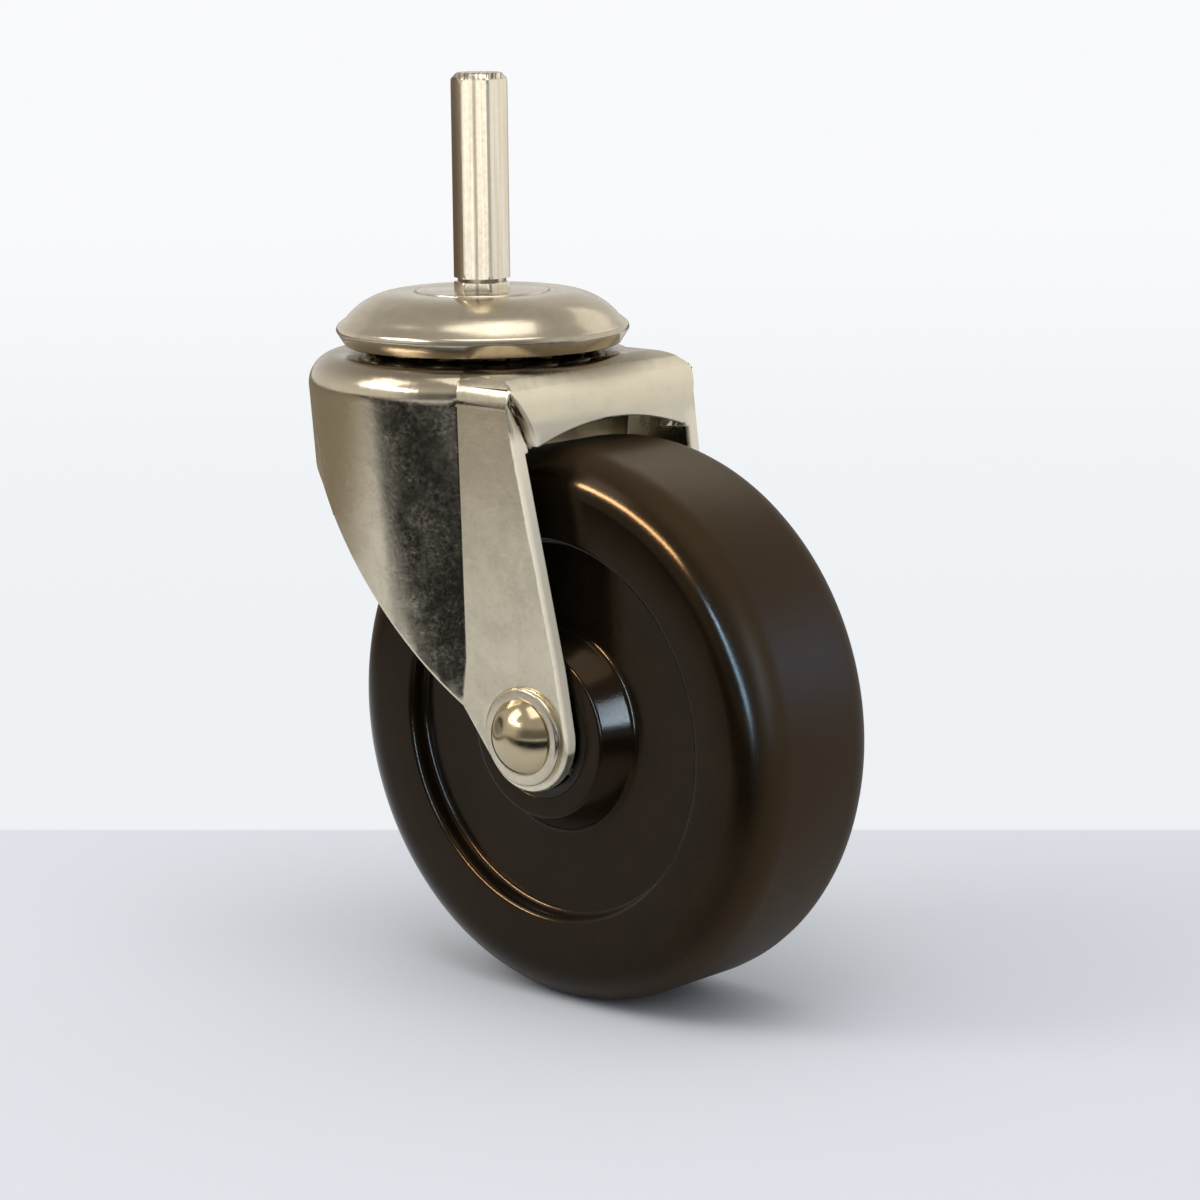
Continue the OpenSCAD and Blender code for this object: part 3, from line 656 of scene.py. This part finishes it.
top_z = STEM_TOP / MM
levels = [(0.0, UNCUT), (1.25, UNCUT), (1.4, 5.1), (1.42, 4.5), (1.5, 4.42), (2.0, 4.42),
          (2.1, 4.55), (2.16, 5.1), (2.3, UNCUT)]
levels += [(z, UNCUT) for z in np.linspace(3, top_z - 2, 14)]
levels += [(top_z - 1.35, UNCUT), (top_z - 1.2, 5.15), (top_z - 0.9, 4.9),
           (top_z - 0.25, 4.25), (top_z - 0.06, 4.05), (top_z, 3.9)]
rings = [[(x, y, z) for x, y in hexagon(limit)] for z, limit in levels]
count = len(rings[0])
vertices = [Vector(p) * MM for ring in rings for p in ring]
faces = []
for i in range(len(rings) - 1):
    for k in range(count):
        n = (k + 1) % count
        faces.append((i * count + k, i * count + n, (i + 1) * count + n, (i + 1) * count + k))
faces.append(tuple(range(count))[::-1])
faces.append(tuple((len(rings) - 1) * count + k for k in range(count)))
bar = link_mesh("stem_bar", vertices, faces, smooth_angle=24)
finish(bar, stem_steel, "head", "stem_steel", "stem")

# %% Shoulder flange and kingpin
FLANGE_R, FLANGE_LOW, PIN_R = 12, -0.8, 5
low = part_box("stem")[0].z / MM
pin = rounded([
    (0, 0, 0), (FLANGE_R, 0, 0.35), (FLANGE_R, FLANGE_LOW, 0.1), (PIN_R, FLANGE_LOW, 0.1),
    (PIN_R, low + 2.2, 0), (6.6, low + 2.2, 0.1), (6.3, low + 1.2, 0.8), (4.2, low + 0.2, 1.5),
    (0, low, 0),
], steps=4, closed=False)
pin = [(max(r, 0.0), h) for r, h in pin]
flange = turned("shoulder_flange", pin, segments=128, closed=False)
finish(flange, polished_steel, "head", "stem_steel", "stem")

# %% [markdown]
# ## Pressed fork
# A press rounds every edge of the sheet. The exact solid has the right form with sharp edges,
# so a copy of it is worked on: the mouth below the lip's arch is opened, flat faces are joined
# again, and a bevel rounds the edges, widely on the legs' outer rims and narrowly elsewhere.
# The gentle bends high on the crown stay as they are. At the end the normals are weighted by
# the size of the faces, so that the large faces look flat and only the roundings turn.

# %% Choose how far each edge is rounded
RIM_WIDTH, EDGE_WIDTH = 0.7, 0.4
SHARP, BEND = math.radians(24), math.radians(50)
CROWN_Z, LEG_TOP_Z, EYE_R = -18.5, -24, 8.5


def cut_away(piece, outline, x_from, x_to):
    """Takes a prism away; its outline is drawn in Y and Z, in mm."""
    count = len(outline)
    vertices = [Vector((x, y, z)) * MM for x in (x_from, x_to) for y, z in outline]
    faces = [tuple(range(count)), tuple(range(2 * count - 1, count - 1, -1))]
    faces += [(k, (k + 1) % count, count + (k + 1) % count, count + k) for k in range(count)]
    cutter = link_mesh("cutter", vertices, faces)
    cut = piece.modifiers.new("cut", "BOOLEAN")
    cut.object, cut.operation, cut.solver = cutter, "DIFFERENCE", "EXACT"
    apply_modifiers(piece)
    bpy.data.objects.remove(cutter)


def edge_width(edge):
    """How far an edge is rounded, in mm."""
    if len(edge.link_faces) != 2 or edge.calc_face_angle(0) < SHARP:
        return 0
    middle = (edge.verts[0].co + edge.verts[1].co) / 2 / MM
    if middle.z > CROWN_Z and edge.calc_face_angle(0) < BEND:
        return 0
    outward = sorted(face.normal.y * math.copysign(1, middle.y) for face in edge.link_faces)
    from_axle = math.hypot(middle.x - AXLE.x / MM, middle.z - AXLE.z / MM)
    one_looks_sideways = outward[1] > 0.8 and outward[0] < 0.4
    if one_looks_sideways and middle.z < LEG_TOP_Z and from_axle > EYE_R:
        return RIM_WIDTH
    return EDGE_WIDTH


def merged(mesh):
    """The mesh in a bmesh, with the points that its faces share made one."""
    shape = bmesh.new()
    shape.from_mesh(mesh)
    bmesh.ops.remove_doubles(shape, verts=shape.verts, dist=2e-6)
    return shape


# %% Open the mouth and round the edges
ARCH_TOP, ARCH_R, ARCH_HALF = -20.7, 57.35, 18.6
MOUTH_HALF, MOUTH_SIDE, MOUTH_LOW, MOUTH_FROM, MOUTH_TO = 20.6, -23.8, -26.0, 29.2, 36.0
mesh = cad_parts["fork"].data.copy()
fork = bpy.data.objects.new("fork_pressing", mesh)
bpy.context.scene.collection.objects.link(fork)
shape = merged(mesh)
shape.to_mesh(mesh)
shape.free()
arch = [(y, ARCH_TOP - ARCH_R + math.sqrt(ARCH_R ** 2 - y ** 2))
        for y in np.linspace(-ARCH_HALF, ARCH_HALF, 33)]
mouth = [(-MOUTH_HALF, MOUTH_SIDE), *arch, (MOUTH_HALF, MOUTH_SIDE),
         (MOUTH_HALF, MOUTH_LOW), (-MOUTH_HALF, MOUTH_LOW)]
cut_away(fork, mouth, MOUTH_FROM, MOUTH_TO)

mesh = fork.data
mesh.name = "fork_pressing"
shape = merged(mesh)
bmesh.ops.dissolve_degenerate(shape, dist=1e-5, edges=shape.edges)
bmesh.ops.dissolve_limit(shape, angle_limit=math.radians(0.3), verts=shape.verts, edges=shape.edges)
weight = shape.edges.layers.float.new("bevel_weight_edge")
for edge in shape.edges:
    edge[weight] = edge_width(edge)
shape.to_mesh(mesh)
shape.free()
mesh.shade_smooth()
round_off = fork.modifiers.new("round_off", "BEVEL")
round_off.limit_method = "WEIGHT"
round_off.width = MM
round_off.segments = 4
round_off.use_clamp_overlap = False
even_out = fork.modifiers.new("even_out", "WEIGHTED_NORMAL")
even_out.mode = "FACE_AREA_WITH_ANGLE"
even_out.weight = 60
apply_modifiers(fork)
finish(fork, fork_steel, "fork_body", "fork_steel", "fork")

# %% [markdown]
# ## Rings of balls and rollers
# Equal pieces stand at equal steps round an axis. One ball or roller is made, and a Geometry
# Nodes group sets copies of it on a circle. The two ball rings differ only in the numbers
# that the group is given, and the rollers use it again, turned to lie along the axle.

# %% Group: copies on a circle
RING_INPUTS = {"Count": "Int", "Radius": "Float", "Height": "Float", "Size": "Float",
               "First angle": "Float"}
copies = bpy.data.node_groups.new("copies_on_a_circle", "GeometryNodeTree")
for label, kind in {"Item": "Geometry", **RING_INPUTS}.items():
    copies.interface.new_socket(label, in_out="INPUT", socket_type="NodeSocket" + kind)
copies.interface.new_socket("Copies", in_out="OUTPUT", socket_type="NodeSocketGeometry")
given = copies.nodes.new("NodeGroupInput").outputs
result = copies.nodes.new("NodeGroupOutput").inputs
circle = put(copies, "GeometryNodeMeshCircle", Vertices=given["Count"], Radius=given["Radius"])
lift = put(copies, "CombineXYZ", Z=given["Height"]).outputs[0]
start = put(copies, "CombineXYZ", Z=given["First angle"]).outputs[0]
placed = put(copies, "GeometryNodeTransform", Geometry=circle.outputs[0], Translation=lift,
             Rotation=start)
instances = put(copies, "GeometryNodeInstanceOnPoints", Points=placed.outputs[0],
                Instance=given["Item"], Scale=given["Size"])
end_group(copies, result, Copies=instances.outputs[0])


# %% Set the copies out
def rings_of(item, rings, centre, turn, material):
    """rings as RING_INPUTS lists them, in metres and radians, round Z before the turn."""
    tree = bpy.data.node_groups.new(item.name, "GeometryNodeTree")
    tree.interface.new_socket("Item", in_out="INPUT", socket_type="NodeSocketGeometry")
    tree.interface.new_socket("Rings", in_out="OUTPUT", socket_type="NodeSocketGeometry")
    given, result = tree.nodes.new("NodeGroupInput"), tree.nodes.new("NodeGroupOutput")
    join = tree.nodes.new("GeometryNodeJoinGeometry")
    values = {}
    for n, ring in enumerate(rings):
        made = put(tree, "GeometryNodeGroup", {"node_tree": copies}, Item=given.outputs["Item"])
        for (label, kind), value in zip(RING_INPUTS.items(), ring):
            socket = tree.interface.new_socket(f"{label} {n + 1}", in_out="INPUT",
                                               socket_type="NodeSocket" + kind)
            feed(tree, made.inputs[label], given.outputs[socket.name])
            values[socket.identifier] = value
        tree.links.new(made.outputs[0], join.inputs[0])
    whole = put(tree, "GeometryNodeRealizeInstances", Geometry=join.outputs[0])
    moved = put(tree, "GeometryNodeTransform", Geometry=whole.outputs[0],
                Translation=tuple(centre), Rotation=turn)
    coated = put(tree, "GeometryNodeSetMaterial", Geometry=moved.outputs[0], Material=material)
    feed(tree, result.inputs["Rings"], coated.outputs[0])
    pattern = item.modifiers.new(item.name, "NODES")
    pattern.node_group = tree
    for identifier, value in values.items():
        pattern[identifier] = value
    apply_modifiers(item)


# %% Two rings of balls
BALL_COUNT, UPPER_RING, LOWER_RING = 14, 0.019, 0.0125
HALF_STEP = math.pi / BALL_COUNT


def ball_of(node):
    """Radius of one ball and the height of its centre, from the box of a ring round Z."""
    low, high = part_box(node)
    return (high.z - low.z) / 2, (low.z + high.z) / 2


big, big_z = ball_of("upper_balls")
small, small_z = ball_of("lower_balls")
ball_profile = [(math.sin(a), -math.cos(a)) for a in np.linspace(0, math.pi, 15)]
ball_profile[0], ball_profile[-1] = (0.0, -1.0), (0.0, 1.0)
ball_profile = [(r * big / MM, h * big / MM) for r, h in ball_profile]
balls = turned("ball_rings_both", ball_profile, segments=24, closed=False)
rings_of(balls, [(BALL_COUNT, UPPER_RING, big_z, 1.0, HALF_STEP),
                 (BALL_COUNT, LOWER_RING, small_z, small / big, HALF_STEP)],
         (0, 0, 0), (0, 0, 0), ball_steel)
finish(balls, ball_steel, "ball_rings", "ball_steel", "upper_balls", "lower_balls")

# %% One ring of rollers
ROLLER_COUNT, ROLLER_R, ROLLER_EDGE = 8, 1.8, 0.35
roller_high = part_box("bearing_rollers")[1]
roller_half = roller_high.y / MM
roller_ring = roller_high.x / MM - AXLE.x / MM - ROLLER_R
roller_profile = rounded([
    (0, -roller_half, 0), (ROLLER_R, -roller_half, ROLLER_EDGE),
    (ROLLER_R, roller_half, ROLLER_EDGE), (0, roller_half, 0),
], steps=3, closed=False)
rollers = turned("hub_rollers", roller_profile, segments=28, closed=False)
rings_of(rollers, [(ROLLER_COUNT, roller_ring * MM, 0.0, 1.0, 0.0)], AXLE,
         (math.pi / 2, 0, 0), ball_steel)
finish(rollers, ball_steel, "wheel_body", "ball_steel", "bearing_rollers")

# %% [markdown]
# ## Axle ends
# The axle is a rivet. Its near head is a polished dome with a small dent from the snap tool,
# and a thin washer with a rounded edge spreads its load on the leg.

# %% Turn the rivet and its washers
HEAD_R, DOME_EDGE_R, SHANK_R = 6.9, 6.75, 4.0
DENT_DEPTH, DENT_R = 0.6, 1.5
WASHER_BORE, WASHER_R = 4.05, 8.8
leg_y, washer_y, head_y = LEG_Y / MM, WASHER_Y / MM, HEAD_Y / MM
head_h = head_y - washer_y
sphere = (HEAD_R ** 2 + head_h ** 2) / (2 * head_h)
arc = [(sphere * math.sin(a), head_y - sphere + sphere * math.cos(a))
       for a in np.linspace(0, math.asin(DOME_EDGE_R / sphere), 30)]
arc[0] = (0.0, arc[0][1])
half = arc + [(HEAD_R, washer_y + 0.28), (6.86, washer_y + 0.06), (6.7, washer_y),
              (SHANK_R, washer_y)]
pin = half + [(r, -h) for r, h in reversed(half)]
rivet = turned("axle_pin", pin, axis="Y", centre=AXLE, segments=128, closed=False)
for vertex in rivet.data.vertices:
    if vertex.co.y < -WASHER_Y:
        away = (Vector((vertex.co.x, vertex.co.z)) - DENT).length / MM
        vertex.co.y += DENT_DEPTH * MM * math.exp(-(away / DENT_R) ** 2)
finish(rivet, polished_steel, "fork_body", "polished_steel", "axle_rivet")
washer_profile = rounded([
    (WASHER_BORE, leg_y, 0.1), (WASHER_R, leg_y, 0.2), (WASHER_R, washer_y, 0.75),
    (WASHER_BORE, washer_y, 0.1),
], steps=6)
for label, sign in (("near", -1), ("far", 1)):
    outline = [(r, sign * h) for r, h in washer_profile]
    washer = turned("head_washer_" + label, outline, axis="Y", centre=AXLE, segments=128)
    finish(washer, fork_steel, "fork_body", "fork_steel", "axle_washer_" + label, bend_size=0.1)

# %% [markdown]
# ## Studio
# The photograph has a pale floor that ends in a straight line behind the wheel, and a paler
# background above it. One wide floor is enough: its tone changes at that line, for the camera.
# Polished metal needs something darker to reflect than paper, so a band of floor in front of
# the part, the floor's far left and the room behind the camera are darker, for reflected rays
# only, as the open side of a light tent is.

# %% Small helpers for the floor
def cover(tree, below, above, mask):
    """Puts one shader over another where the mask says so."""
    made = put(tree, "MixShader", Fac=mask)
    tree.links.new(below, made.inputs[1])
    tree.links.new(above, made.inputs[2])
    return made.outputs[0]


def matte(tree, colour):
    return put(tree, "BsdfDiffuse", Color=colour).outputs[0]


# %% Lay the floor
FLOOR_REACH, LINE_TILT = 6.0, 0.04
corners = [(x * FLOOR_REACH, y * FLOOR_REACH, FLOOR_Z)
           for x, y in ((-1, -1), (1, -1), (1, 1), (-1, 1))]
floor = link_mesh("floor", corners, [(0, 1, 2, 3)])
paper = bpy.data.materials.new("paper")
paper.use_nodes = True
tree = paper.node_tree
tree.nodes.clear()
toward = Vector((back.x, back.y)).normalized()
parts = split(tree, tree.nodes.new("ShaderNodeTexCoord").outputs["Object"])
depth = calc(tree, "SUBTRACT", distance_along(tree, parts, toward),
             AIM.x * toward.x + AIM.y * toward.y)
across = calc(tree, "SUBTRACT", distance_along(tree, parts, level), AIM.dot(level))
level_depth = calc(tree, "SUBTRACT", depth, calc(tree, "MULTIPLY", across, LINE_TILT))
path = tree.nodes.new("ShaderNodeLightPath").outputs
rise = remap(tree, depth, -0.11, -1.6)
wall_colour = tint(tree, rise, (0.855, 0.885, 0.91), (0.95, 0.955, 0.97))
far_paper = put(tree, "Emission", Color=wall_colour, Strength=1.0).outputs[0]
behind = calc(tree, "MULTIPLY", remap(tree, level_depth, -0.1085, -0.1105),
              path["Is Camera Ray"])
left = calc(tree, "MULTIPLY", remap(tree, parts[0], -0.12, -0.4), path["Is Glossy Ray"])
in_front = calc(tree, "MULTIPLY", remap(tree, depth, 0.07, 0.15),
                remap(tree, depth, 0.56, 0.42), path["Is Glossy Ray"])
whole = cover(tree, matte(tree, (0.75, 0.775, 0.835)), far_paper, behind)
whole = cover(tree, whole, matte(tree, (0.3, 0.26, 0.2)), left)
whole = cover(tree, whole, matte(tree, (0.012, 0.013, 0.014)), in_front)
out = tree.nodes.new("ShaderNodeOutputMaterial")
tree.links.new(whole, out.inputs["Surface"])
floor.data.materials.append(paper)
print("floor at", round(FLOOR_Z / MM, 2), "mm")

# %% Light the room
bpy.context.scene.view_settings.view_transform = "Standard"
world = bpy.data.worlds.new("room")
bpy.context.scene.world = world
world.use_nodes = True
tree = world.node_tree
tree.nodes.clear()
parts = split(tree, tree.nodes.new("ShaderNodeTexCoord").outputs["Generated"])
facing = distance_along(tree, parts, toward)
open_side = calc(tree, "MULTIPLY", remap(tree, facing, 0.45, 0.85),
                 remap(tree, parts[2], 0.55, 0.25))
path = tree.nodes.new("ShaderNodeLightPath").outputs
soft_room = tint(tree, remap(tree, parts[2], -0.1, 0.9), (0.5, 0.5, 0.5), (0.72, 0.72, 0.71))
mirrored = tint(tree, remap(tree, parts[2], 0.0, 0.9), (0.78, 0.76, 0.73), (0.5, 0.49, 0.47))
mirrored = tint(tree, open_side, mirrored, (0.17, 0.165, 0.16))
room = tint(tree, path["Is Glossy Ray"], soft_room, mirrored)
colour = tint(tree, path["Is Camera Ray"], room, (0.95, 0.955, 0.97))
glow = put(tree, "Background", Color=colour, Strength=1.0)
out = tree.nodes.new("ShaderNodeOutputWorld")
tree.links.new(glow.outputs[0], out.inputs["Surface"])


# %% [markdown]
# ## Lamps
# Two soft boxes light everything. The strips and cards are there for reflections only, and each
# of them is linked to the pieces it was set for: the rubber, the plated pieces or the stem.

# %% Hang the lamps
def lamp(name, azimuth, elevation, distance, size, power, colour=(1, 1, 1), turn=0, lights=None):
    """A lamp that looks at the part. One that has pieces to light shows in reflections only."""
    light = bpy.data.lights.new(name, "AREA")
    light.shape = "RECTANGLE"
    light.size, light.size_y = size
    light.energy = power
    light.color = colour
    a, e = math.radians(azimuth), math.radians(elevation)
    way = Vector((math.sin(a) * math.cos(e), -math.cos(a) * math.cos(e), math.sin(e)))
    thing = bpy.data.objects.new(name, light)
    pose = way.to_track_quat("Z", "Y").to_matrix().to_4x4()
    pose = pose @ Matrix.Rotation(math.radians(turn), 4, "Z")
    pose.translation = AIM + way * distance
    thing.matrix_world = pose
    thing.visible_camera = False
    thing.visible_diffuse = lights is None
    if lights:
        thing.light_linking.receiver_collection = lights
    bpy.context.scene.collection.objects.link(thing)


def only(name, *pieces):
    chosen = bpy.data.collections.new(name)
    for piece in pieces:
        chosen.objects.link(piece)
    return chosen


rubber = only("rubber_only", wheel)
metal = only("metal_only", cap, bar, flange, fork, rivet)
stem = only("stem_only", bar)
lamp("top_box", 60, 72, 1.1, (0.9, 0.7), 3.5)
lamp("left_box", -38, 40, 1.0, (0.4, 0.5), 2.0, (1.0, 0.97, 0.92))
lamp("plate_strip", -24, 29, 1.0, (0.62, 0.035), 2.4, (1.0, 0.97, 0.93), lights=metal)
lamp("rear_card", 173, 35, 1.0, (0.7, 0.4), 0.42, (1.0, 0.98, 0.95), lights=metal)
lamp("stem_card", 22, 2, 1.0, (0.3, 0.4), 0.4, (1.0, 0.98, 0.94), lights=stem)
lamp("stem_side_card", 142, 2, 1.0, (0.3, 0.4), 0.12, (1.0, 0.97, 0.9), lights=stem)
lamp("warm_strip", -24, 28, 1.0, (0.62, 0.1), 18.0, (1.0, 0.82, 0.58), lights=rubber)
lamp("far_strip", -150, 40, 1.0, (0.6, 0.05), 1.5, (1.0, 0.88, 0.68), lights=rubber)
lamp("cool_strip", 20, 8, 0.8, (0.5, 0.04), 11.0, (0.2, 0.45, 1.0), turn=-38, lights=rubber)
lamp("side_strip", 77, 18, 0.9, (0.1, 0.4), 16.0, (0.27, 0.5, 1.0), lights=rubber)
lamp("back_strip", 136, 14, 1.0, (0.07, 0.3), 4.0, (0.27, 0.5, 1.0), lights=rubber)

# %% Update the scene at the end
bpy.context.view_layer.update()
